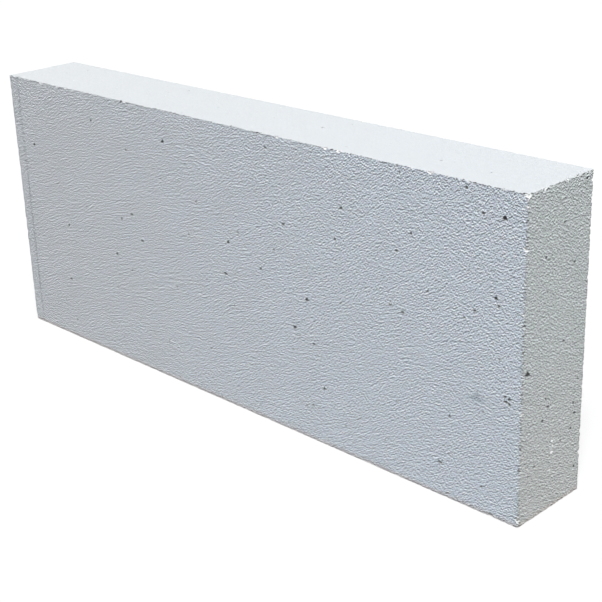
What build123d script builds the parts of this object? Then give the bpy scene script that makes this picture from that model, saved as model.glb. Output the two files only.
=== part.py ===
from build123d import *
import os

# One block of autoclaved aerated concrete, sawn to size by wires and hardened as a single piece.
# Sizes are in millimetres. X runs along the block, Y through its thickness and Z up. The block
# stands on its long narrow bed face, and the origin is on the floor under its middle. The front
# face looks along -Y, and left and right are those of someone who stands before it.

# The sawn block
length = 600.0
thickness = 75.0
height = 250.0

# Handling rounds every arris a little, and has crushed the top right corner of the front face.
arris_radius = 1.0
crushed_corner = 4.0

# Chips knocked out of the arrises: place as a share of the arris, length along it and depth.
# The upright arris at the right of the front face, from the floor up
upright_chips = [(0.025, 6.0, 1.8), (0.36, 4.0, 1.5), (0.66, 4.0, 1.4), (0.85, 7.0, 1.9)]
# The top arris of the right end face, from the front to the back
end_top_chips = [(0.24, 6.0, 1.9), (0.59, 4.5, 1.6), (0.76, 5.0, 1.7)]
# The bottom arris of the front face, from the left to the right
front_bottom_chips = [(0.41, 4.0, 1.4), (0.965, 9.0, 2.0)]

# Gas bubbles that the saw cut open, as round hollows. Only the widest ones are here.
# Front face: share of the length from the left, share of the height from the floor, and width
front_bubbles = [
    (0.29, 0.59, 4.0),
    (0.31, 0.5, 3.5),
    (0.375, 0.89, 4.0),
    (0.495, 0.485, 4.0),
    (0.615, 0.72, 3.5),
    (0.63, 0.38, 4.0),
    (0.655, 0.49, 4.0),
    (0.66, 0.125, 3.0),
    (0.72, 0.825, 3.5),
    (0.82, 0.555, 3.5),
    (0.88, 0.11, 3.5),
    (0.96, 0.685, 3.5),
    (0.97, 0.92, 4.0),
    (0.98, 0.39, 4.0),
]
# Right end face: share of the thickness from the front, share of the height and width
end_bubbles = [(0.075, 0.477, 5.0), (0.42, 0.34, 3.0), (0.88, 0.27, 3.0)]

# A shallow bruise in the front face near its right end: place as above, width and depth
bruise_place = (0.934, 0.36)
bruise_width = 9.0
bruise_depth = 1.0


def sawn_block():
    """The sharp-edged block that the wires leave, standing on its lower bed face."""
    return Box(length, thickness, height, align=(Align.CENTER, Align.CENTER, Align.MIN))


def corner(right, back, top):
    """A corner of the sawn block. Each number is 0 or 1, or a share of the way between."""
    return Vector((right - 0.5) * length, (back - 0.5) * thickness, top * height)


def without_crushed_corner(block):
    """The block with its front right top corner cut off, equally far along the three arrises."""
    inward = Vector(-1, 1, -1)
    middle_of_cut = corner(1, 0, 1) + inward * (crushed_corner / 3)
    return split(block, bisect_by=Plane(middle_of_cut, z_dir=-inward), keep=Keep.BOTTOM)


def scoop(point, outward, width, depth):
    """A ball that stands out of the surface at a point, and bites that wide and deep into it."""
    radius = (width ** 2 / 4 + depth ** 2) / (2 * depth)
    return Pos(point + outward.normalized() * (radius - depth)) * Sphere(radius)


def chips(places, start, end, outward):
    """The scoops of one arris, which runs from start to end."""
    return [scoop(start + (end - start) * share, outward, chip_length, chip_depth)
            for share, chip_length, chip_depth in places]


def arris_chips():
    """Every chip: the upright arris, the top of the end face and the bottom of the front face."""
    near_foot = corner(1, 0, 0)
    near_top = corner(1, 0, 1)
    upright = chips(upright_chips, near_foot, near_top, Vector(1, -1, 0))
    end_top = chips(end_top_chips, near_top, corner(1, 1, 1), Vector(1, 0, 1))
    front_bottom = chips(front_bottom_chips, corner(0, 0, 0), near_foot, Vector(0, -1, -1))
    return upright + end_top + front_bottom


def cut_bubbles():
    """Half round hollows, each as deep as half its width, in the front and right end faces."""
    front = [scoop(corner(along, 0, up), Vector(0, -1, 0), width, width / 2)
             for along, up, width in front_bubbles]
    end = [scoop(corner(1, back, up), Vector(1, 0, 0), width, width / 2)
           for back, up, width in end_bubbles]
    return front + end


def bruise():
    """A wide and shallow dent in the front face."""
    along, up = bruise_place
    return scoop(corner(along, 0, up), Vector(0, -1, 0), bruise_width, bruise_depth)


def concrete_block():
    """The whole block: sawn, its corner crushed, its arrises rounded, then chipped and pitted."""
    block = without_crushed_corner(sawn_block())
    block = fillet(block.edges(), arris_radius)
    return (block - arris_chips() - cut_bubbles() - bruise()).solid()


os.makedirs("parts", exist_ok=True)
export_step(concrete_block(), "parts/concrete_block.step")
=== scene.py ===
# %% [markdown]
# # Dressing a block of aerated concrete
# The real block starts as a slurry that foams and rises like dough. Tight wires slice the soft
# cake into blocks, and steam hardens them. So the block is one piece: six flat sawn faces, full of
# tiny bubbles that the wires cut open, between arrises that crumble at every touch.
# The solid model gives the exact size and place. This script makes the look around it.

# %% Load the solid model of the block
import math
import random

import bmesh
import bpy
import numpy as np
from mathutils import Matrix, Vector, noise


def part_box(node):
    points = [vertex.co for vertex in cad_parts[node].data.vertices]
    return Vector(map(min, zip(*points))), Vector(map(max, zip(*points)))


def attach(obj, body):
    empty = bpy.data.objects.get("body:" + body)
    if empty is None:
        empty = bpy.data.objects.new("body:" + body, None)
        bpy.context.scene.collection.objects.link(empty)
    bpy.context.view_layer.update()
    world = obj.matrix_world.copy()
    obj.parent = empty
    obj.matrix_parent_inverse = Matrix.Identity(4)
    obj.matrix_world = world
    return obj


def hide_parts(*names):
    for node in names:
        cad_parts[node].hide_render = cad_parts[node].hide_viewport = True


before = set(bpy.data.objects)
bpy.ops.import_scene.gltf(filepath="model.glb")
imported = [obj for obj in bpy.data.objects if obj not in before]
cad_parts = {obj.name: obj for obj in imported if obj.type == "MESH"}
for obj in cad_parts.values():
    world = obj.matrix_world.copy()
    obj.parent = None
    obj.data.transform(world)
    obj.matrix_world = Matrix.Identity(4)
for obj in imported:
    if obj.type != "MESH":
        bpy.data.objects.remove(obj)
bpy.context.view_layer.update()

low, high = (np.array(corner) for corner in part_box("concrete_block"))
size = high - low
middle = (low + high) / 2
MM = 0.001
print("the block measures", (size / MM).round(1), "mm along X, Y and Z")

# %% [markdown]
# ## Where the camera stands
# The photograph was taken from the right of the front face and from above, near enough for the far
# end to look much smaller. The place and the lens were fitted to the block's seven visible corners.
# Putting the camera in first means that every later choice can be judged from the right side.

# %% Set up the camera
camera_place = Vector((0.777, -0.711, 0.508))
camera_aim = Vector((0.033, 0.014, 0.09))
camera_roll = math.radians(-2.0)
lens_mm = 78.6
sensor_mm = 36.0
nearest_seen, farthest_seen = 0.01, 100.0


def add_camera():
    """A camera with no shift and no depth of field, turned about its own axis by the roll."""
    data = bpy.data.cameras.new("camera")
    data.lens = lens_mm
    data.sensor_width = sensor_mm
    data.clip_start = nearest_seen
    data.clip_end = farthest_seen
    camera = bpy.data.objects.new("camera", data)
    bpy.context.scene.collection.objects.link(camera)
    camera.location = camera_place
    upright = (camera_aim - camera_place).to_track_quat("-Z", "Y").to_matrix()
    turn = upright.Rotation(camera_roll, 3, "Z")
    camera.rotation_euler = (upright @ turn).to_euler()
    bpy.context.scene.camera = camera
    return camera


camera = add_camera()
print("the camera is", round((camera_place - Vector(middle)).length, 2), "m from the block's middle")

# %% [markdown]
# ## A skin that is fine only where it has to be
# A flat sawn face needs hardly any mesh, while an arris needs a point every millimetre to look
# crumbled. One even grid that fine would be far too heavy. Instead each face starts as squares
# about 25 mm wide, and a square is quartered again and again as long as it is too wide for its
# distance from the nearest arris. Every point is kept as whole steps of the finest grid, so that
# neighbouring faces share their points exactly and the skin is closed without any welding.

# %% Plan the squares
widest_square = 25 * MM
halvings = 5
growth = 0.55
squares = np.round(size / widest_square).astype(int)
whole = 2 ** halvings
steps = squares * whole
step = size / steps
finest = float(step.max())
print("squares per side", squares, "and the finest step is", round(finest / MM, 2), "mm")


def arris_gap(u, v, width, span_u, span_v):
    """How far a square of a face is from the nearest arris, in metres, from its nearest side."""
    return max(0, min(u * span_u[1], v * span_v[1],
                      (span_u[0] - u - width) * span_u[1],
                      (span_v[0] - v - width) * span_v[1]))


def quartered(u, v, width, span_u, span_v):
    """The squares that one square is cut into, each as (u, v, width) in finest steps."""
    gap = arris_gap(u, v, width, span_u, span_v)
    if width == 1 or width * finest <= finest + growth * gap:
        return [(u, v, width)]
    half = width // 2
    corners = [(u, v), (u + half, v), (u, v + half), (u + half, v + half)]
    return [part for a, b in corners for part in quartered(a, b, half, span_u, span_v)]


# %% [markdown]
# Two opposite faces have the same squares, so both are laid out together. The corners of a square
# are named in turn, and in reverse on the low side, so that every face looks outwards.

# %% Lay the squares out on the six faces
def face_squares(axis):
    """Every square of the two faces across one axis, as four corners in turn, in finest steps."""
    across = [(axis + 1) % 3, (axis + 2) % 3]
    span_u, span_v = [(steps[k], step[k]) for k in across]
    parts = [part
             for u in range(0, steps[across[0]], whole)
             for v in range(0, steps[across[1]], whole)
             for part in quartered(u, v, whole, span_u, span_v)]
    for side in (0, steps[axis]):
        for u, v, width in parts:
            ring = [(u, v), (u + width, v), (u + width, v + width), (u, v + width)]
            if side == 0:
                ring.reverse()
            yield [lattice_point(axis, side, a, b) for a, b in ring]


def lattice_point(axis, side, u, v):
    """A point of the finest grid, as whole steps along X, Y and Z."""
    point = [0, 0, 0]
    point[axis] = int(side)
    point[(axis + 1) % 3] = u
    point[(axis + 2) % 3] = v
    return tuple(point)


rings = [ring for axis in range(3) for ring in face_squares(axis)]
used = {point for ring in rings for point in ring}
print(len(rings), "squares and", len(used), "points")


# %% [markdown]
# Where a wide square meets narrow ones, their corners lie on its side. If the wide square skipped
# them, the skin would crack open as soon as a point moves. So each side is walked step by step and
# picks up every point that a neighbour uses.

# %% Close the skin
def with_neighbours(ring):
    """The square's outline with every point that lies on its sides."""
    outline = []
    for start, end in zip(ring, ring[1:] + ring[:1]):
        start, end = np.array(start), np.array(end)
        count = int(np.abs(end - start).max())
        way = (end - start) // count
        walk = [tuple((start + way * k).tolist()) for k in range(count)]
        outline += [walk[0]] + [point for point in walk[1:] if point in used]
    return outline


def skin_object(name):
    """The whole skin as one closed mesh of triangles, still perfectly square."""
    order = {point: index for index, point in enumerate(sorted(used))}
    places = low + np.array(sorted(used)) * step
    faces = [[order[point] for point in with_neighbours(ring)] for ring in rings]
    mesh = bpy.data.meshes.new(name)
    mesh.from_pydata(places.tolist(), [], faces)
    work = bmesh.new()
    work.from_mesh(mesh)
    bmesh.ops.triangulate(work, faces=work.faces, quad_method="SHORT_EDGE")
    work.to_mesh(mesh)
    work.free()
    skin = bpy.data.objects.new(name, mesh)
    bpy.context.scene.collection.objects.link(skin)
    return skin


block = skin_object("aerated_block")
print("the plain skin has", len(block.data.polygons), "triangles")

# %% [markdown]
# ## Worn arrises
# The arrises of aerated concrete are weak, because half of each little cell wall is missing. Each
# point is pulled onto a rounded box whose radius wanders along the arris. Then points near an
# arris sink a little further, by a rough pattern as wide as the cells. The top right corner of the
# front face is pressed back onto a rough plane, as the solid model has it. All three only take
# material away, so the block stays inside its solid model.

# %% Wear the arrises
wear_least = 0.15 * MM
wear_most = 0.8 * MM
wear_length = 6 * MM
nibble_depth = 0.7 * MM
nibble_width = 1.9 * MM
nibble_reach = 1.5 * MM
nibble_aim = 4 * MM
# The noise at which a nibble starts, how much more makes it full, and its even and uneven parts
nibble_start, nibble_rise = 0.05, 0.3
nibble_even, nibble_uneven = 0.6, 0.4
tiny = 1e-9
# How far apart the noises of two seeds are taken
seed_step = (7.3, 3.1, 5.7)
crushed_corner = 4 * MM
crush_roughness = 0.5 * MM
front_top_corner = np.array([high[0], low[1], high[2]])
corner_outward = np.array([1, -1, 1]) / math.sqrt(3)


def rough(points, width, seed):
    """Smooth random values from about -1 to 1 over the points, one swing in about that width."""
    offset = Vector([seed * way for way in seed_step])
    return np.array([noise.noise(Vector(point) / width + offset) for point in points])


def rough_share(points, width, seed):
    """The same noise as a share, mostly from 0 to 1."""
    return 0.5 + 0.5 * rough(points, width, seed)


def on_rounded_box(points, radius):
    """Each point moved onto a box whose arrises have that radius, which may differ per point."""
    inner = np.clip(points, low + radius, high - radius)
    away = points - inner
    return inner + away / np.linalg.norm(away, axis=1, keepdims=True) * radius


def to_arris(points):
    """Each point's distance to the nearest arris: its second smallest distance to a face."""
    gaps = np.minimum(points - low, high - points)
    return np.sort(gaps, axis=1)[:, 1]


def past_crush(points):
    """How far each point stands out of the plane across the crushed corner, or below 0 within it."""
    return (points - front_top_corner) @ corner_outward + crushed_corner / math.sqrt(3)


def crushed_back(points):
    """The points with those beyond the crushed corner's plane pressed back onto it, unevenly."""
    past = past_crush(points)
    uneven = crush_roughness * rough_share(points, nibble_width, 4)
    return points - np.outer(np.where(past > 0, past + uneven, 0), corner_outward)


def worn(points):
    """The points of the square skin after wear."""
    swing = np.clip(rough_share(points, wear_length, 1), 0, 1)
    wear = wear_least + (wear_most - wear_least) * swing ** 2
    moved = on_rounded_box(points, wear[:, None])
    near = np.exp(-(to_arris(points) / nibble_reach) ** 2)
    bite = np.clip((rough(points, nibble_width, 2) - nibble_start) / nibble_rise, 0, 1)
    bite *= nibble_even + nibble_uneven * rough(points, wear_length, 3)
    inward = np.clip(moved, low + nibble_aim, high - nibble_aim) - moved
    inward /= np.maximum(np.linalg.norm(inward, axis=1, keepdims=True), tiny)
    return crushed_back(moved + inward * (nibble_depth * bite * near)[:, None])


def read_points(mesh):
    """The mesh's points as rows of X, Y and Z."""
    points = np.zeros(len(mesh.vertices) * 3)
    mesh.vertices.foreach_get("co", points)
    return points.reshape(-1, 3)


block.data.vertices.foreach_set("co", worn(read_points(block.data)).ravel())
block.data.update()
print("wear goes up to", wear_most / MM, "mm, and nibbles up to", nibble_depth / MM, "mm deeper")

# %% [markdown]
# ## Cut bubbles and chips
# A few bubbles are much wider than the rest, and knocks have taken chips out of the arrises. Both
# are real hollows with a sharp rim, so they are cut rather than painted: lumpy balls are pushed
# into the skin and taken away with a boolean. The widest ones stand where the solid model and the
# photograph have them. The small ones are strewn over all six faces with a fixed seed.

# %% List the hollows that show in the photograph
# Front face: share of the length from the left, share of the height from the floor, width in mm
front_bubbles = [
    (0.29, 0.59, 4.0), (0.31, 0.5, 3.5), (0.375, 0.89, 4.0), (0.495, 0.485, 4.0),
    (0.615, 0.72, 3.5), (0.63, 0.38, 4.0), (0.655, 0.49, 4.0), (0.66, 0.125, 3.0),
    (0.72, 0.825, 3.5), (0.82, 0.555, 3.5), (0.88, 0.11, 3.5), (0.96, 0.685, 3.5),
    (0.97, 0.92, 4.0),
]
# One wide bubble near the right end has torn walls and shows as several dark spots. Their places
# are in mm to the right and up from its middle, with their widths
cluster_place = (0.98, 0.39)
torn_cluster = [(-1.9, 2.6, 2.4), (1.6, 1.5, 2.6), (-1.5, -1.2, 2.9), (1.7, -2.6, 2.5)]
# The next widest, which the solid model leaves out
front_small_bubbles = [
    (0.285, 0.89, 2.6), (0.35, 0.785, 2.6), (0.365, 0.755, 2.8), (0.44, 0.71, 2.8),
    (0.28, 0.37, 2.8), (0.245, 0.415, 3.2), (0.24, 0.28, 2.6), (0.385, 0.37, 2.6),
    (0.525, 0.645, 2.6), (0.595, 0.625, 2.6), (0.665, 0.345, 3.0), (0.625, 0.3, 2.6),
    (0.8, 0.565, 2.6), (0.86, 0.645, 2.7), (0.93, 0.63, 2.7), (0.915, 0.6, 2.7),
    (0.965, 0.665, 2.5), (0.895, 0.275, 2.5), (0.72, 0.1, 2.5),
    (0.945, 0.085, 2.5), (0.79, 0.105, 2.5),
]
# Right end face: share of the thickness from the front, share of the height, width
end_bubbles = [(0.075, 0.477, 5.0), (0.42, 0.34, 3.0), (0.88, 0.27, 3.0)]
end_small_bubbles = [(0.34, 0.305, 2.8), (0.82, 0.225, 2.8), (0.3, 0.8, 2.4), (0.76, 0.75, 2.4),
                     (0.38, 0.37, 2.4), (0.85, 0.305, 2.4), (0.23, 0.17, 2.2), (0.57, 0.88, 2.2)]
# Crumbs knocked loose from the end face leave small pale scars
end_crumbs = [(0.52, 0.224, 3.2), (0.53, 0.205, 2.6), (0.515, 0.186, 3.4), (0.5, 0.13, 2.8)]
# Chips: share of the arris, length along it, depth
upright_chips = [(0.025, 6.0, 1.8), (0.36, 4.0, 1.5), (0.66, 4.0, 1.4), (0.85, 7.0, 1.9)]
end_top_chips = [(0.24, 6.0, 1.9), (0.59, 4.5, 1.6), (0.76, 5.0, 1.7)]
front_bottom_chips = [(0.41, 4.0, 1.4), (0.965, 9.0, 2.0)]
# The bruise: its place, its width and depth, and the share of each that still shows as a form
bruise_along, bruise_up = 0.934, 0.36
bruise_width, bruise_depth = 9.0, 1.0
bruise_width_kept, bruise_depth_kept = 0.6, 0.4


def share(right, back, top):
    """A point of the block from its shares of the length, thickness and height."""
    return low + size * np.array([right, back, top])


# %% [markdown]
# A perfectly round hollow would look drilled, so smooth noise swells and sinks each ball. A ball
# stays plain points and triangles until all are gathered, because one big cut is far quicker than
# hundreds of small ones.

# %% Make one lumpy ball
chance = random.Random(11)
lump_pitch, lump_gain = 1.6, 2
noise_span = 50
# Which material lines a hollow, and how finely its ball is divided
SAWN, ENDS, HOLLOW, CRUSHED = range(4)
coarse_ball, plain_ball, fine_ball, finest_ball = 1, 2, 3, 4


def lumpy_ball(place, radius, lumps=0.12, detail=plain_ball, flat=None, inside=HOLLOW):
    """The points and triangles of a ball whose surface swells and sinks by the share in lumps.
    flat is a direction and a factor: the ball is squashed along it. inside is the material index."""
    work = bmesh.new()
    bmesh.ops.create_icosphere(work, subdivisions=detail, radius=1.0)
    offset = Vector([chance.uniform(0, noise_span) for _ in range(3)])
    points = []
    for vert in work.verts:
        swell = 1 + lumps * noise.noise(vert.co * lump_pitch + offset) * lump_gain
        points.append(np.array(vert.co) * radius * swell)
    faces = [[vert.index for vert in face.verts] for face in work.faces]
    work.free()
    points = np.array(points)
    if flat:
        direction, factor = np.array(flat[0], float), flat[1]
        along = points @ direction
        points -= np.outer(along * (1 - factor), direction)
    return points + np.array(place), faces, inside


def scoop(place, outward, width, depth, **look):
    """A ball that stands out of the surface, and bites that wide and deep into it. Sizes in mm."""
    outward = np.array(outward, float) / np.linalg.norm(outward)
    radius = (width ** 2 / 4 + depth ** 2) / (2 * depth) * MM
    return lumpy_ball(np.array(place) + outward * (radius - depth * MM), radius, **look)


# %% [markdown]
# A bubble is nearly as deep as it is wide, and its lining is painted dark, as painted shade. A crumb
# scar is shallow, a chip lies across its arris, and both show fresh pale foam. The bruise is so
# shallow that it keeps the look of the face around it.

# %% Gather the balls that show in the photograph
balls = []
squat = ((0, 0, 1), 0.75)
# Depth as a share of the width
bubble_deep, torn_deep, crumb_deep = 0.8, 0.9, 0.3
front_lumps, end_lumps, small_lumps, chip_lumps, bruise_lumps = 0.26, 0.22, 0.2, 0.25, 0.08
fine_from = 3


def ball_for(width):
    """How finely a bubble's ball is divided. Width in mm."""
    return fine_ball if width > fine_from else plain_ball


for along, up, width in front_bubbles + front_small_bubbles:
    balls.append(scoop(share(along, 0, up), (0, -1, 0), width, width * bubble_deep,
                       lumps=front_lumps, flat=squat, detail=ball_for(width)))
for back, up, width in end_bubbles + end_small_bubbles:
    balls.append(scoop(share(1, back, up), (1, 0, 0), width, width * bubble_deep,
                       lumps=end_lumps, detail=ball_for(width)))
for right, up, width in torn_cluster:
    place = share(cluster_place[0], 0, cluster_place[1]) + np.array([right, 0, up]) * MM
    balls.append(scoop(place, (0, -1, 0), width, width * torn_deep, lumps=small_lumps))
for back, up, width in end_crumbs:
    balls.append(scoop(share(1, back, up), (1, 0, 0), width, width * crumb_deep,
                       lumps=small_lumps, inside=CRUSHED))
for places, start, end, outward in (
        (upright_chips, (1, 0, 0), (1, 0, 1), (1, -1, 0)),
        (end_top_chips, (1, 0, 1), (1, 1, 1), (1, 0, 1)),
        (front_bottom_chips, (0, 0, 0), (1, 0, 0), (0, -1, -1))):
    start, end = share(*start), share(*end)
    for part, chip_length, chip_depth in places:
        balls.append(scoop(start + (end - start) * part, outward, chip_length, chip_depth,
                           lumps=chip_lumps, detail=fine_ball, inside=CRUSHED))
balls.append(scoop(share(bruise_along, 0, bruise_up), (0, -1, 0), bruise_width * bruise_width_kept,
                   bruise_depth * bruise_depth_kept, lumps=bruise_lumps, detail=finest_ball,
                   inside=SAWN))
print(len(balls), "hollows stand where the photograph has them")


# %% [markdown]
# The rest are strewn. Each new ball is dropped if it would touch one that is there already, because
# a boolean works best on bodies that keep apart.

# %% Strew the rest
strewn_per_square_metre = 620
keep_apart = 1.6 * MM
strewn_lumps = 0.18
# Least width in mm, how much wider the widest are, and how rare wide ones are
strewn_widths = (1.3, 1.9, 2.5)
# Least and most depth as a share of the width
strewn_deep = (0.4, 0.9)


def chance_width(least, more, rarity):
    """A random width in mm. The higher the rarity, the fewer are wide."""
    return least + more * chance.random() ** rarity


def reach(ball):
    """The middle and the greatest radius of a ball."""
    points = ball[0]
    centre = points.mean(axis=0)
    return centre, np.linalg.norm(points - centre, axis=1).max()


taken = [reach(ball) for ball in balls]


def add_if_clear(ball):
    """Take the ball in if it keeps its distance from all the others."""
    centre, radius = reach(ball)
    for other, other_radius in taken:
        if np.linalg.norm(centre - other) < radius + other_radius + keep_apart:
            return
    balls.append(ball)
    taken.append((centre, radius))


for axis in range(3):
    a, b = (axis + 1) % 3, (axis + 2) % 3
    for side, outward in ((low[axis], -1), (high[axis], 1)):
        count = int(size[a] * size[b] * strewn_per_square_metre)
        for _ in range(count):
            place = np.zeros(3)
            place[axis] = side
            place[a] = chance.uniform(low[a], high[a])
            place[b] = chance.uniform(low[b], high[b])
            normal = np.zeros(3)
            normal[axis] = outward
            width = chance_width(*strewn_widths)
            # Hollows in the upper bed get the pale lining, as light falls into them, and the others get
            # the lining painted dark as painted shade
            add_if_clear(scoop(place, normal, width, width * chance.uniform(*strewn_deep),
                               lumps=strewn_lumps, inside=CRUSHED if normal[2] > 0 else HOLLOW))
print(len(balls), "hollows in all")

# %% [markdown]
# A block that has been carried about is chipped on every arris. The twelve arrises are listed once,
# each by its two ends and the way it looks out. Chips are mostly small, and none lands on a hollow
# that is there already.

# %% Chip all twelve arrises
chip_gap = 28 * MM
clear_of_ends = 0.02
strewn_chip_widths, strewn_chip_deep = (2.2, 4.2, 3), (0.25, 0.36)
arrises = []
for axis in range(3):
    for side_a in (0, 1):
        for side_b in (0, 1):
            start = [0, 0, 0]
            start[(axis + 1) % 3] = side_a
            start[(axis + 2) % 3] = side_b
            end = list(start)
            end[axis] = 1
            outward = np.array(start) * 2.0 - 1
            outward[axis] = 0
            arrises.append((start, end, outward))
for start, end, outward in arrises:
    start, end = share(*start), share(*end)
    for _ in range(int(np.linalg.norm(end - start) / chip_gap)):
        place = start + (end - start) * chance.uniform(clear_of_ends, 1 - clear_of_ends)
        width = chance_width(*strewn_chip_widths)
        add_if_clear(scoop(place, outward, width, width * chance.uniform(*strewn_chip_deep),
                           lumps=end_lumps, inside=CRUSHED))
print(len(balls), "hollows with the chips")

# %% [markdown]
# Where a bubble lies under an arris, its thin wall breaks out and leaves a notch, whose lining is
# painted dark, as painted shade. In the photograph that dots the arrises of the right end face, so the
# notches stand closer together on the arrises that it shows, and the others get fewer to keep the
# mesh light.

# %% Open bubbles along the arrises
seen_gap = 4.5 * MM
hidden_gap = 14 * MM
off_line = 0.5 * MM
stray = 0.4
notch_widths, notch_deep = (1.3, 1.5, 2), (0.5, 0.8)
for start, end, outward in arrises:
    on_front = outward[0] >= 0 and outward[1] <= 0 and outward[2] >= 0
    seen = on_front or (outward[0] > 0 and outward[2] > 0)
    start, end = share(*start), share(*end)
    length = np.linalg.norm(end - start)
    count = int(length / (seen_gap if seen else hidden_gap))
    for k in range(count):
        place = start + (end - start) * (k + chance.uniform(-stray, 1 + stray)) / count
        place = place + np.array([chance.uniform(-off_line, off_line) for _ in range(3)]) * (outward != 0)
        width = chance_width(*notch_widths)
        add_if_clear(scoop(place, outward, width, width * chance.uniform(*notch_deep),
                           lumps=small_lumps, detail=coarse_ball))
print(len(balls), "hollows with the open bubbles of the arrises")


# %% [markdown]
# ## One cut
# All the balls become one cutter, which is taken away from the skin in one go. The lining of each
# hollow keeps the material of its ball. On the skin itself, the two ends and the crushed corner get
# their own material first.

# %% Cut them all at once
crush_margin = 1.2
end_facing = 0.7


def joined(name, parts):
    """One mesh object from many lots of points, faces and material indices."""
    points, faces, materials = [], [], []
    for part_points, part_faces, inside in parts:
        faces += [[index + len(points) for index in face] for face in part_faces]
        materials += [inside] * len(part_faces)
        points += part_points.tolist()
    mesh = bpy.data.meshes.new(name)
    mesh.from_pydata(points, [], faces)
    mesh.polygons.foreach_set("material_index", materials)
    item = bpy.data.objects.new(name, mesh)
    bpy.context.scene.collection.objects.link(item)
    return item


sawn = bpy.data.materials.new("sawn_concrete")
ends = bpy.data.materials.new("cross_cut_concrete")
hollow = bpy.data.materials.new("open_bubble")
crushed = bpy.data.materials.new("crushed_concrete")
cutter = joined("cutter", balls)
for item in (block, cutter):
    for material in (sawn, ends, hollow, crushed):
        item.data.materials.append(material)


def surface_kind(face):
    """The material index of one face of the skin: crushed corner, cross-cut end or sawn face."""
    if past_crush(np.array(face.center)) > -crush_roughness * crush_margin:
        return CRUSHED
    return ENDS if abs(face.normal.x) > end_facing else SAWN


kinds = [surface_kind(face) for face in block.data.polygons]
block.data.polygons.foreach_set("material_index", kinds)
print(kinds.count(CRUSHED), "triangles make up the crushed corner")
cut = block.modifiers.new("hollows", "BOOLEAN")
cut.operation = "DIFFERENCE"
cut.solver = "EXACT"
cut.object = cutter
ready = block.evaluated_get(bpy.context.evaluated_depsgraph_get())
hollowed = bpy.data.meshes.new_from_object(ready)
block.modifiers.clear()
block.data = hollowed
bpy.data.objects.remove(cutter)
print("after the cuts:", len(block.data.polygons), "faces")

# %% [markdown]
# Smooth shading would smear the light round a rim. So faces are shaded smooth where they meet at a
# small angle, and every steeper edge stays sharp. The count of open edges shows whether the cut has
# left a hole in the skin.

# %% Shade it: smooth within a surface, sharp at every rim
sharp_from = math.radians(42)
work = bmesh.new()
work.from_mesh(block.data)
bmesh.ops.triangulate(work, faces=work.faces)
open_edges = sum(1 for edge in work.edges if not edge.is_manifold)
work.to_mesh(block.data)
work.free()
block.data.polygons.foreach_set("use_smooth", [True] * len(block.data.polygons))
block.data.set_sharp_from_angle(angle=sharp_from)
print("the finished skin has", len(block.data.polygons), "triangles and", open_edges, "open edges")

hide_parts("concrete_block")
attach(block, "root")

# %% [markdown]
# ## Helpers for the materials
# A material is a graph of nodes. These helpers keep each line of the graph short: one adds a node
# and fills its sockets, and the others are the few sums that are needed again and again.

# %% Node helpers
def add(tree, kind, sockets=(), **settings):
    """A new node with its settings, and its sockets filled from values or from other sockets."""
    node = tree.nodes.new(kind)
    for name, value in settings.items():
        setattr(node, name, value)
    for name, value in dict(sockets).items():
        if isinstance(value, bpy.types.NodeSocket):
            tree.links.new(value, node.inputs[name])
        else:
            node.inputs[name].default_value = value
    return node


def place_group(tree, group, sockets):
    """One use of a node group, with its own values."""
    return add(tree, "ShaderNodeGroup", sockets, node_tree=group).outputs


def sum_of(tree, operation, a, b=0.0, c=0.0):
    """One step of arithmetic, such as ADD or MULTIPLY."""
    return add(tree, "ShaderNodeMath", {0: a, 1: b, 2: c}, operation=operation).outputs[0]


def vector_sum(tree, operation, a, b=(0.0, 0.0, 0.0)):
    """One step of arithmetic on vectors."""
    return add(tree, "ShaderNodeVectorMath", {0: a, 1: b}, operation=operation).outputs[0]


def scaled_by(tree, vector, factor):
    """A vector or a colour made longer or shorter by a factor."""
    return add(tree, "ShaderNodeVectorMath", {0: vector, "Scale": factor}, operation="SCALE").outputs[0]


def ease(tree, value, start, end, out_start=0.0, out_end=1.0):
    """The value eased from out_start to out_end while it goes from start to end."""
    sockets = {"Value": value, "From Min": start, "From Max": end, "To Min": out_start, "To Max": out_end}
    return add(tree, "ShaderNodeMapRange", sockets, interpolation_type="SMOOTHSTEP").outputs["Result"]


def around_zero(tree, value, width):
    """A noise from 0 to 1 moved to lie evenly around 0, and as wide as asked."""
    return sum_of(tree, "MULTIPLY_ADD", value, width, -width / 2)


def blend(tree, amount, a, b):
    """Two colours mixed: a where the amount is 0, and b where it is 1."""
    return add(tree, "ShaderNodeMix", {0: amount, 6: a, 7: b}, data_type="RGBA").outputs[2]


KINDS = {"float": "NodeSocketFloat", "vector": "NodeSocketVector"}


def new_group(name, inputs, outputs):
    """An empty node group, with its named sockets, and its entry and exit nodes."""
    tree = bpy.data.node_groups.new(name, "ShaderNodeTree")
    for label, kind, value in inputs:
        socket = tree.interface.new_socket(label, in_out="INPUT", socket_type=KINDS[kind])
        if value is not None:
            socket.default_value = value
    for label, kind in outputs:
        tree.interface.new_socket(label, in_out="OUTPUT", socket_type=KINDS[kind])
    entry = tree.nodes.new("NodeGroupInput").outputs
    exits = tree.nodes.new("NodeGroupOutput").inputs
    return tree, entry, exits


# %% [markdown]
# ## Bubbles cut open
# Aerated concrete is a foam. A wire cut opens every bubble in its way at another height, so each
# leaves a round hollow of its own size. At a millimetre or two they are too many to model, so a
# Voronoi texture scatters one middle per cell. Each middle gets its own radius, and the height
# inside the radius follows a ball. The texture is turned askew, because its cells start from an
# even grid, and a face that runs along that grid would show it.

# %% Group: cut bubbles
askew = (0.55, 0.35, 0.9)
# The shade of a bubble starts just outside its rim and is full inside it, as shares of its radius
rim_start, rim_full = 1.05, 0.7
place_input = [("Vector", "vector", None)]
foam_sizes = [("Cell width", "float", 2 * MM), ("Least radius", "float", 0.1),
              ("Most radius", "float", 0.5), ("Roundness", "float", 0.5), ("Disorder", "float", 1.0)]


def in_cells(tree, vector, width):
    """The place counted in cells of that width, and turned askew."""
    counted = scaled_by(tree, vector, sum_of(tree, "DIVIDE", 1.0, width))
    return add(tree, "ShaderNodeMapping", {"Vector": counted, "Rotation": askew}).outputs[0]


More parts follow.
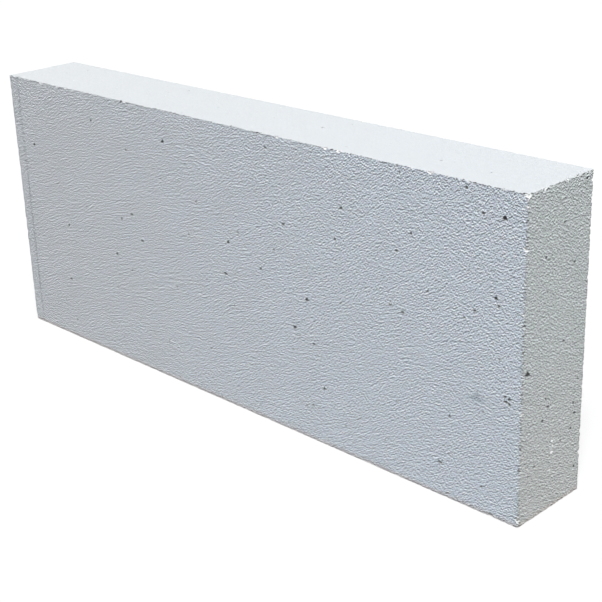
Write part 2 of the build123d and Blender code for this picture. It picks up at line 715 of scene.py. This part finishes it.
cut_foam, entry, exits = new_group("cut foam", place_input + foam_sizes,
                                   [("Height", "float"), ("Mask", "float"), ("Chance", "float")])
scaled = in_cells(cut_foam, entry["Vector"], entry["Cell width"])
cells = add(cut_foam, "ShaderNodeTexVoronoi",
            {"Vector": scaled, "Scale": 1.0, "Randomness": entry["Disorder"]},
            voronoi_dimensions="3D", feature="F1")
own = add(cut_foam, "ShaderNodeSeparateColor", {"Color": cells.outputs["Color"]}).outputs
spread = sum_of(cut_foam, "SUBTRACT", entry["Most radius"], entry["Least radius"])
radius = sum_of(cut_foam, "MULTIPLY_ADD", own["Red"], spread, entry["Least radius"])
ratio = sum_of(cut_foam, "DIVIDE", cells.outputs["Distance"], radius)
inside = sum_of(cut_foam, "SUBTRACT", 1.0, sum_of(cut_foam, "MULTIPLY", ratio, ratio))
bowl = sum_of(cut_foam, "SQRT", sum_of(cut_foam, "MAXIMUM", inside, 0.0))
depth = sum_of(cut_foam, "MULTIPLY", sum_of(cut_foam, "MULTIPLY", bowl, radius), entry["Roundness"])
depth = sum_of(cut_foam, "MULTIPLY", depth, entry["Cell width"])
cut_foam.links.new(sum_of(cut_foam, "MULTIPLY", depth, -1.0), exits["Height"])
cut_foam.links.new(ease(cut_foam, ratio, rim_start, rim_full), exits["Mask"])
cut_foam.links.new(own["Green"], exits["Chance"])
print("the group", cut_foam.name, "has", len(cut_foam.nodes), "nodes")

# %% [markdown]
# ## Painted light and shade on the bubble walls
# From a step away the foam reads as fine pale and dark dashes. The lower wall of each open bubble
# looks up and is painted paler, as painted light, while the upper wall looks down and is painted
# darker, as painted shade. To find them, the foam is worked out twice, here and a little higher:
# where it gets deeper downwards, the ground looks up. Each bubble has its own strength, or the
# dashes would join into waves.

# %% Group: a foam and the painted light and shade on its bubble walls
weakest_ledge, strongest_ledge = 0.2, 1.8
ledged_foam, entry, exits = new_group(
    "ledged foam", place_input + foam_sizes + [("Look up", "float", 0.4 * MM)],
    [("Height", "float"), ("Mask", "float"), ("Ledge", "float")])
shared = {label: entry[label] for label, _, _ in foam_sizes}
here = place_group(ledged_foam, cut_foam, {"Vector": entry["Vector"], **shared})
lift = add(ledged_foam, "ShaderNodeCombineXYZ", {"Z": entry["Look up"]}).outputs[0]
higher = vector_sum(ledged_foam, "ADD", entry["Vector"], lift)
above = place_group(ledged_foam, cut_foam, {"Vector": higher, **shared})
fall = sum_of(ledged_foam, "SUBTRACT", here["Height"], above["Height"])
run = sum_of(ledged_foam, "MULTIPLY", entry["Look up"], entry["Roundness"])
uneven = ease(ledged_foam, here["Chance"], 0.0, 1.0, weakest_ledge, strongest_ledge)
lean = sum_of(ledged_foam, "MULTIPLY", sum_of(ledged_foam, "DIVIDE", fall, run), uneven)
lean = sum_of(ledged_foam, "MAXIMUM", sum_of(ledged_foam, "MINIMUM", lean, 1.0), -1.0)
ledged_foam.links.new(lean, exits["Ledge"])
ledged_foam.links.new(here["Height"], exits["Height"])
ledged_foam.links.new(here["Mask"], exits["Mask"])
print("the group", ledged_foam.name, "has", len(ledged_foam.nodes), "nodes")

# %% [markdown]
# ## Grain
# The wire drags crumbs along and leaves a rough skin between the bubbles. The colour drifts too,
# over millimetres and over some centimetres, with the moisture and with the way the cake rose.
# One noise group serves for all of them, at another width each time.

# %% Group: grain
grain, entry, exits = new_group(
    "grain", place_input + [("Width", "float", 2 * MM), ("Detail", "float", 3.0),
                            ("Roughness", "float", 0.55)],
    [("Value", "float")])
scaled = in_cells(grain, entry["Vector"], entry["Width"])
cloud = add(grain, "ShaderNodeTexNoise", {"Vector": scaled, "Scale": 1.0, "Detail": entry["Detail"],
                                          "Roughness": entry["Roughness"]}, noise_dimensions="3D")
grain.links.new(cloud.outputs[0], exits["Value"])
print("the group", grain.name, "has", len(grain.nodes), "nodes")

# %% [markdown]
# ## Where the arrises and the floor are
# Dust and wear keep to the arrises, and dirt from the floor to the lowest part. Both can be worked
# out from the place on the block alone, because its box is known. The distance to the nearest
# arris is the second smallest distance to a face: all three together, less the least and the most.

# %% Groups: nearness to an arris, and to the floor
near_arris, entry, exits = new_group(
    "near arris",
    place_input + [("Middle", "vector", tuple(middle)), ("Half size", "vector", tuple(size / 2)),
                   ("Reach", "float", 3 * MM), ("Ragged", "float", 0.0)],
    [("Mask", "float")])
local = vector_sum(near_arris, "SUBTRACT", entry["Vector"], entry["Middle"])
local = vector_sum(near_arris, "ABSOLUTE", local)
gap = vector_sum(near_arris, "SUBTRACT", entry["Half size"], local)
gap = add(near_arris, "ShaderNodeSeparateXYZ", {0: gap}).outputs


def of_three(operation):
    """The least, the most or the total of the three distances to the faces."""
    first_two = sum_of(near_arris, operation, gap["X"], gap["Y"])
    return sum_of(near_arris, operation, first_two, gap["Z"])


second = sum_of(near_arris, "SUBTRACT", of_three("ADD"), of_three("MINIMUM"))
second = sum_of(near_arris, "SUBTRACT", second, of_three("MAXIMUM"))
wavy = sum_of(near_arris, "ADD", second, entry["Ragged"])
near_arris.links.new(ease(near_arris, wavy, entry["Reach"], 0.0), exits["Mask"])

near_floor, entry, exits = new_group(
    "near floor", place_input + [("Height", "float", 20 * MM), ("Ragged", "float", 0.0)],
    [("Mask", "float")])
up = add(near_floor, "ShaderNodeSeparateXYZ", {0: entry["Vector"]}).outputs["Z"]
wavy = sum_of(near_floor, "ADD", up, entry["Ragged"])
near_floor.links.new(ease(near_floor, wavy, entry["Height"], 0.0), exits["Mask"])
print("the groups", near_arris.name, "and", near_floor.name, "know the block's box")

# %% [markdown]
# ## Marks
# Two marks show in the photograph: a grey smear on the bruise, and a faint dotted line along the
# left end, as a strap or a rail leaves. Both are soft ellipsoids, long or short, whose edge is
# broken up by noise. A group with a middle and half sizes does for both.

# %% Group: a smudge
# The share of the half size within which the smudge is full
smudge_core = 0.3
smudge, entry, exits = new_group(
    "smudge",
    place_input + [("Middle", "vector", (0.0, 0.0, 0.0)), ("Half size", "vector", (1.0, 1.0, 1.0)),
                   ("Ragged", "float", 0.0)],
    [("Mask", "float")])
local = vector_sum(smudge, "SUBTRACT", entry["Vector"], entry["Middle"])
local = vector_sum(smudge, "DIVIDE", local, entry["Half size"])
away = add(smudge, "ShaderNodeVectorMath", {0: local}, operation="LENGTH").outputs["Value"]
wavy = sum_of(smudge, "ADD", away, entry["Ragged"])
smudge.links.new(ease(smudge, wavy, 1.0, smudge_core), exits["Mask"])
print("the group", smudge.name, "has", len(smudge.nodes), "nodes")

# %% [markdown]
# ## The concrete
# It is the same concrete everywhere, so one function fills all four materials, and they differ in
# a few values. The long faces and the beds are cool and even. The ends, cut across by other wires,
# are a little greener. The lining of a wide bubble is dark, as hardly any light gets in. Chips and
# crumb scars show fresh foam, which is paler.

# %% Choose the colours and measures
soft_grey = (0.505, 0.536, 0.574, 1.0)
cool_grey = (0.528, 0.594, 0.674, 1.0)
end_grey = (0.490, 0.526, 0.546, 1.0)
end_olive = (0.488, 0.527, 0.532, 1.0)
pale_dust = (0.616, 0.640, 0.652, 1.0)
lavender_tint = (1.024, 0.993, 1.014, 1.0)
moss_tint = (0.984, 1.008, 0.986, 1.0)
warm_dirt = (0.54, 0.46, 0.42, 1.0)
# The lining of the open bubbles is painted dark, as painted shade, because hardly any light gets in
hollow_shade_grey = (0.20, 0.207, 0.212, 1.0)
scar_grey = (0.68, 0.70, 0.71, 1.0)
palest = (0.95, 0.95, 0.95)

fine_cell, wide_cell = 1.6 * MM, 2.6 * MM
# The bubbles are narrower along X than they are high, because the cake stretched them as it rose
rise_stretch = (1.5, 1.0, 1.0)
# Their least and greatest radius as shares of a cell, and how far they stray from an even grid
fine_least, fine_most, fine_disorder = 0.5, 0.85, 0.75
wide_least, wide_most = 0.0, 0.4
drift_width, drift_detail = 30 * MM, 3.0
mottle_width, mottle_detail = 5 * MM, 2.0
grain_detail, grain_roughness = 1.0, 0.8
# The noise stays between these nearly everywhere
noise_low, noise_high = 0.3, 0.7
# How much of the second base colour shows at the left and at the right, and with the drift
mix_from, left_mix, right_mix, drift_mix = low[0] * 1.15, -0.3, 0.7, 0.6
# How far a face has to look up before dust starts to lie on it, and for a full coat
dust_from, dust_full = 0.5, 0.9
thinnest_dust, arris_coat = 0.6, 0.35
ragged_by = 4 * MM
dust_reach, crumbling_reach = 1.4 * MM, 3.0 * MM
dirt_height, rising_height = 5 * MM, 160 * MM
dirt_strength, end_warmth = 0.5, 0.16
# How dark the bubbles near an arris are painted, as painted shade, and how strong the painted light and
# shade on their walls is there
arris_hole_shade, arris_ledge_light_shade = 0.3, 0.9
# The upper bed looks smoother in the photograph, so only this share of its relief is left
clogged = 0.45
least_rough, most_rough, gloss = 0.86, 0.96, 0.25

bruise_middle = tuple(share(bruise_along, 0, bruise_up))
bruise_half = (12 * MM, 4 * MM, 3.4 * MM)
bruise_dark, bruise_ragged = 0.34, 1.0
score_inset = 12.5 * MM
score_middle = tuple(share(0, 0, 0.5) + np.array([score_inset, 0, 0]))
score_half = (1.7 * MM, 4 * MM, size[2] * 1.2)
score_dark, score_ragged = 0.36, 5.0
print("bubbles of", fine_cell / MM, "and", wide_cell / MM, "mm, stretched by", rise_stretch)


# %% [markdown]
# The colour is laid on in coats: the base with its slow drift, a trace of tint, dust on what looks
# up and along the arrises, dirt at the floor, then the painted shade in the bubbles, the marks, and
# the painted light and shade on the bubble walls. The same bubbles and grain also give the relief,
# so each painted bubble catches the light.

# %% Build the four materials
def mixed_colour(tree, where, facing, mottle, drift, base):
    """The bare concrete: two base colours mixed, lightly tinted, and warmer low down on the ends."""
    along = add(tree, "ShaderNodeSeparateXYZ", {0: where}).outputs["X"]
    to_right = ease(tree, along, mix_from, high[0], left_mix, right_mix)
    colour = blend(tree, sum_of(tree, "MULTIPLY_ADD", drift, drift_mix, to_right), *base)
    tint = blend(tree, ease(tree, mottle, noise_low, noise_high), lavender_tint, moss_tint)
    colour = vector_sum(tree, "MULTIPLY", colour, tint)
    rising = place_group(tree, near_floor, {"Vector": where, "Height": rising_height})["Mask"]
    on_ends = sum_of(tree, "MULTIPLY", sum_of(tree, "ABSOLUTE", facing["X"]), end_warmth)
    return blend(tree, sum_of(tree, "MULTIPLY", rising, on_ends), colour, warm_dirt)


def marks(tree, where, mottle, torn):
    """How much the smear on the bruise and the dotted line darken each place."""
    smear = {"Vector": where, "Middle": bruise_middle, "Half size": bruise_half,
             "Ragged": around_zero(tree, mottle, bruise_ragged)}
    score = {"Vector": where, "Middle": score_middle, "Half size": score_half,
             "Ragged": around_zero(tree, torn, score_ragged)}
    bruised = sum_of(tree, "MULTIPLY", place_group(tree, smudge, smear)["Mask"], bruise_dark)
    scored = sum_of(tree, "MULTIPLY", place_group(tree, smudge, score)["Mask"], score_dark)
    return sum_of(tree, "MAXIMUM", bruised, scored)


def concrete(material, base, roundness, grain_width, grain_depth, shade, ledge_light_shade):
    """Fill one concrete material. Roundness is the depth of the bubbles as a share of a ball's,
    the grain is in metres, shade is how much darker the bubbles are painted inside, as painted
    shade, and the ledge value is how much paler and darker their two walls are painted, as painted
    light and shade."""
    material.use_nodes = True
    tree = material.node_tree
    tree.nodes.clear()
    where = add(tree, "ShaderNodeTexCoord").outputs["Object"]
    normal = add(tree, "ShaderNodeNewGeometry").outputs["Normal"]
    facing = add(tree, "ShaderNodeSeparateXYZ", {0: normal}).outputs
    upward = ease(tree, facing["Z"], dust_from, dust_full)
    sideways = sum_of(tree, "SUBTRACT", 1.0, upward)

    drift = place_group(tree, grain, {"Vector": where, "Width": drift_width,
                                      "Detail": drift_detail})["Value"]
    mottle = place_group(tree, grain, {"Vector": where, "Width": mottle_width,
                                       "Detail": mottle_detail})["Value"]
    torn = place_group(tree, grain, {"Vector": where, "Width": grain_width, "Detail": grain_detail,
                                     "Roughness": grain_roughness})["Value"]
    risen = add(tree, "ShaderNodeMapping", {"Vector": where, "Scale": rise_stretch}).outputs[0]
    small = place_group(tree, ledged_foam, {"Vector": risen, "Cell width": fine_cell,
                                            "Least radius": fine_least, "Most radius": fine_most,
                                            "Roundness": roundness, "Disorder": fine_disorder})
    wide = place_group(tree, cut_foam, {"Vector": where, "Cell width": wide_cell,
                                        "Least radius": wide_least, "Most radius": wide_most,
                                        "Roundness": roundness})

    near = {"Vector": where, "Ragged": around_zero(tree, torn, ragged_by)}
    arris = place_group(tree, near_arris, {"Reach": dust_reach, **near})["Mask"]
    crumbling = place_group(tree, near_arris, {"Reach": crumbling_reach, **near})["Mask"]
    dirt = place_group(tree, near_floor, {"Height": dirt_height, **near})["Mask"]

    colour = mixed_colour(tree, where, facing, mottle, drift, base)
    dust = sum_of(tree, "MULTIPLY", upward, ease(tree, torn, noise_low, noise_high, thinnest_dust))
    dust = sum_of(tree, "MAXIMUM", dust, sum_of(tree, "MULTIPLY", arris, arris_coat))
    colour = blend(tree, dust, colour, pale_dust)
    colour = blend(tree, sum_of(tree, "MULTIPLY", dirt, dirt_strength), colour, warm_dirt)

    # Painted shade: the open bubbles are painted darker inside, more so near an arris, and not on faces
    # that look up, where light falls in. The bruise smear and the dotted line are added on top
    holes = sum_of(tree, "MAXIMUM", small["Mask"], wide["Mask"])
    dark = sum_of(tree, "MULTIPLY", holes, ease(tree, crumbling, 0.0, 1.0, shade, arris_hole_shade))
    dark = sum_of(tree, "MULTIPLY", dark, sideways)
    dark = sum_of(tree, "MAXIMUM", dark, marks(tree, where, mottle, torn))
    light = sum_of(tree, "SUBTRACT", 1.0, dark)
    # Painted light and shade: on faces that do not look up, the wall of a bubble that looks up is painted
    # paler and the wall that looks down darker, more strongly near an arris
    ledge_light_shade_share = ease(tree, crumbling, 0.0, 1.0, ledge_light_shade, arris_ledge_light_shade)
    ledge_light_shade_share = sum_of(tree, "MULTIPLY", sideways, ledge_light_shade_share)
    on_ledge = sum_of(tree, "MULTIPLY_ADD", small["Ledge"], ledge_light_shade_share, 1.0)
    light = sum_of(tree, "MULTIPLY", light, on_ledge)
    colour = vector_sum(tree, "MINIMUM", scaled_by(tree, colour, light), palest)

    height = sum_of(tree, "MINIMUM", small["Height"], wide["Height"])
    height = sum_of(tree, "MULTIPLY_ADD", torn, grain_depth, height)
    height = sum_of(tree, "MULTIPLY", height, ease(tree, upward, 0.0, 1.0, 1.0, clogged))
    bump = add(tree, "ShaderNodeBump", {"Height": height, "Distance": 1.0, "Strength": 1.0}).outputs[0]
    shader = add(tree, "ShaderNodeBsdfPrincipled",
                 {"Base Color": colour, "Normal": bump, "Specular IOR Level": gloss,
                  "Roughness": ease(tree, drift, noise_low, noise_high, least_rough, most_rough)})
    add(tree, "ShaderNodeOutputMaterial", {"Surface": shader.outputs[0]})
    print("the material", material.name, "has", len(tree.nodes), "nodes")


concrete(sawn, (soft_grey, cool_grey), roundness=0.6, grain_width=1.8 * MM,
         grain_depth=0.73 * MM, shade=0.08, ledge_light_shade=0.86)
concrete(ends, (end_grey, end_olive), roundness=0.6, grain_width=1.8 * MM,
         grain_depth=1.2 * MM, shade=0.08, ledge_light_shade=0.62)
concrete(hollow, (hollow_shade_grey, hollow_shade_grey), roundness=0.5, grain_width=1.5 * MM,
         grain_depth=2.0 * MM, shade=0.14, ledge_light_shade=0.5)
concrete(crushed, (scar_grey, scar_grey), roundness=0.3, grain_width=1.2 * MM,
         grain_depth=1.2 * MM, shade=0.10, ledge_light_shade=0.5)

# %% [markdown]
# ## Floor
# The photograph shows the block cut out on pure white. A real block needs something to stand on,
# so a wide pale floor lies just under it and takes its shadow. The floor glows just enough to look
# white, and only where the camera sees it, directly or in a reflection. So it hardly lights the block.

# %% Floor
floor_width = 40.0
floor_gap = 0.2 * MM
floor_glow = 0.33
floor_greys = (0.45, 0.45, 0.45, 1.0), (0.47, 0.47, 0.47, 1.0)
floor_clouds, floor_roughness = 0.4, 0.9
white = (1.0, 1.0, 1.0, 1.0)
edge = floor_width / 2
mesh = bpy.data.meshes.new("floor")
mesh.from_pydata([(-edge, -edge, 0), (edge, -edge, 0), (edge, edge, 0), (-edge, edge, 0)],
                 [], [(0, 1, 2, 3)])
floor = bpy.data.objects.new("floor", mesh)
floor.location.z = low[2] - floor_gap
bpy.context.scene.collection.objects.link(floor)


def seen_directly(tree):
    """1 for rays from the camera or from a mirror-like or clear surface, 0 for light on its way."""
    path = add(tree, "ShaderNodeLightPath").outputs
    return sum_of(tree, "MAXIMUM", path["Is Camera Ray"],
                  sum_of(tree, "MAXIMUM", path["Is Glossy Ray"], path["Is Transmission Ray"]))


paint = bpy.data.materials.new("pale_floor")
paint.use_nodes = True
tree = paint.node_tree
tree.nodes.clear()
where = add(tree, "ShaderNodeTexCoord").outputs["Object"]
spots = place_group(tree, grain, {"Vector": where, "Width": floor_clouds,
                                  "Detail": mottle_detail})["Value"]
paint_colour = blend(tree, spots, *floor_greys)
glow = sum_of(tree, "MULTIPLY", seen_directly(tree), floor_glow)
shader = add(tree, "ShaderNodeBsdfPrincipled",
             {"Base Color": paint_colour, "Roughness": floor_roughness,
              "Emission Color": white, "Emission Strength": glow})
add(tree, "ShaderNodeOutputMaterial", {"Surface": shader.outputs[0]})
floor.data.materials.append(paint)
print("the floor is", floor_width, "m wide")

# %% [markdown]
# ## Light
# The light in the photograph is soft and comes from above, from the right and from the front. The
# upper bed is almost white in it. A sun lamp with a wide disc gives that at the same strength
# everywhere, and an even world fills the shade. The world, too, is fully white only where the camera
# sees it, directly or in a reflection.

# %% Light
world_fill = 0.35
lamp_angle = math.radians(20)
lamp_strength = 1.3 * math.pi
lamp_from = Vector((0.36, -0.37, 0.86))
lamp_away = 3.0

world = bpy.data.worlds.new("even_white")
bpy.context.scene.world = world
world.use_nodes = True
tree = world.node_tree
tree.nodes.clear()
fill = add(tree, "ShaderNodeBackground", {"Color": white, "Strength": world_fill})
backdrop = add(tree, "ShaderNodeBackground", {"Color": white, "Strength": 1.0})
mixed = add(tree, "ShaderNodeMixShader", {0: seen_directly(tree), 1: fill.outputs[0],
                                          2: backdrop.outputs[0]})
add(tree, "ShaderNodeOutputWorld", {"Surface": mixed.outputs[0]})

lamp_data = bpy.data.lights.new("soft_lamp", "SUN")
lamp_data.angle = lamp_angle
lamp_data.energy = lamp_strength
lamp = bpy.data.objects.new("soft_lamp", lamp_data)
lamp.location = Vector(middle) + lamp_from * lamp_away
lamp.rotation_euler = (-lamp_from).to_track_quat("-Z", "Y").to_euler()
bpy.context.scene.collection.objects.link(lamp)
bpy.context.scene.view_settings.view_transform = "Standard"
print("the lamp is", round(math.degrees(lamp_angle)), "degrees wide and the world fills with", world_fill)
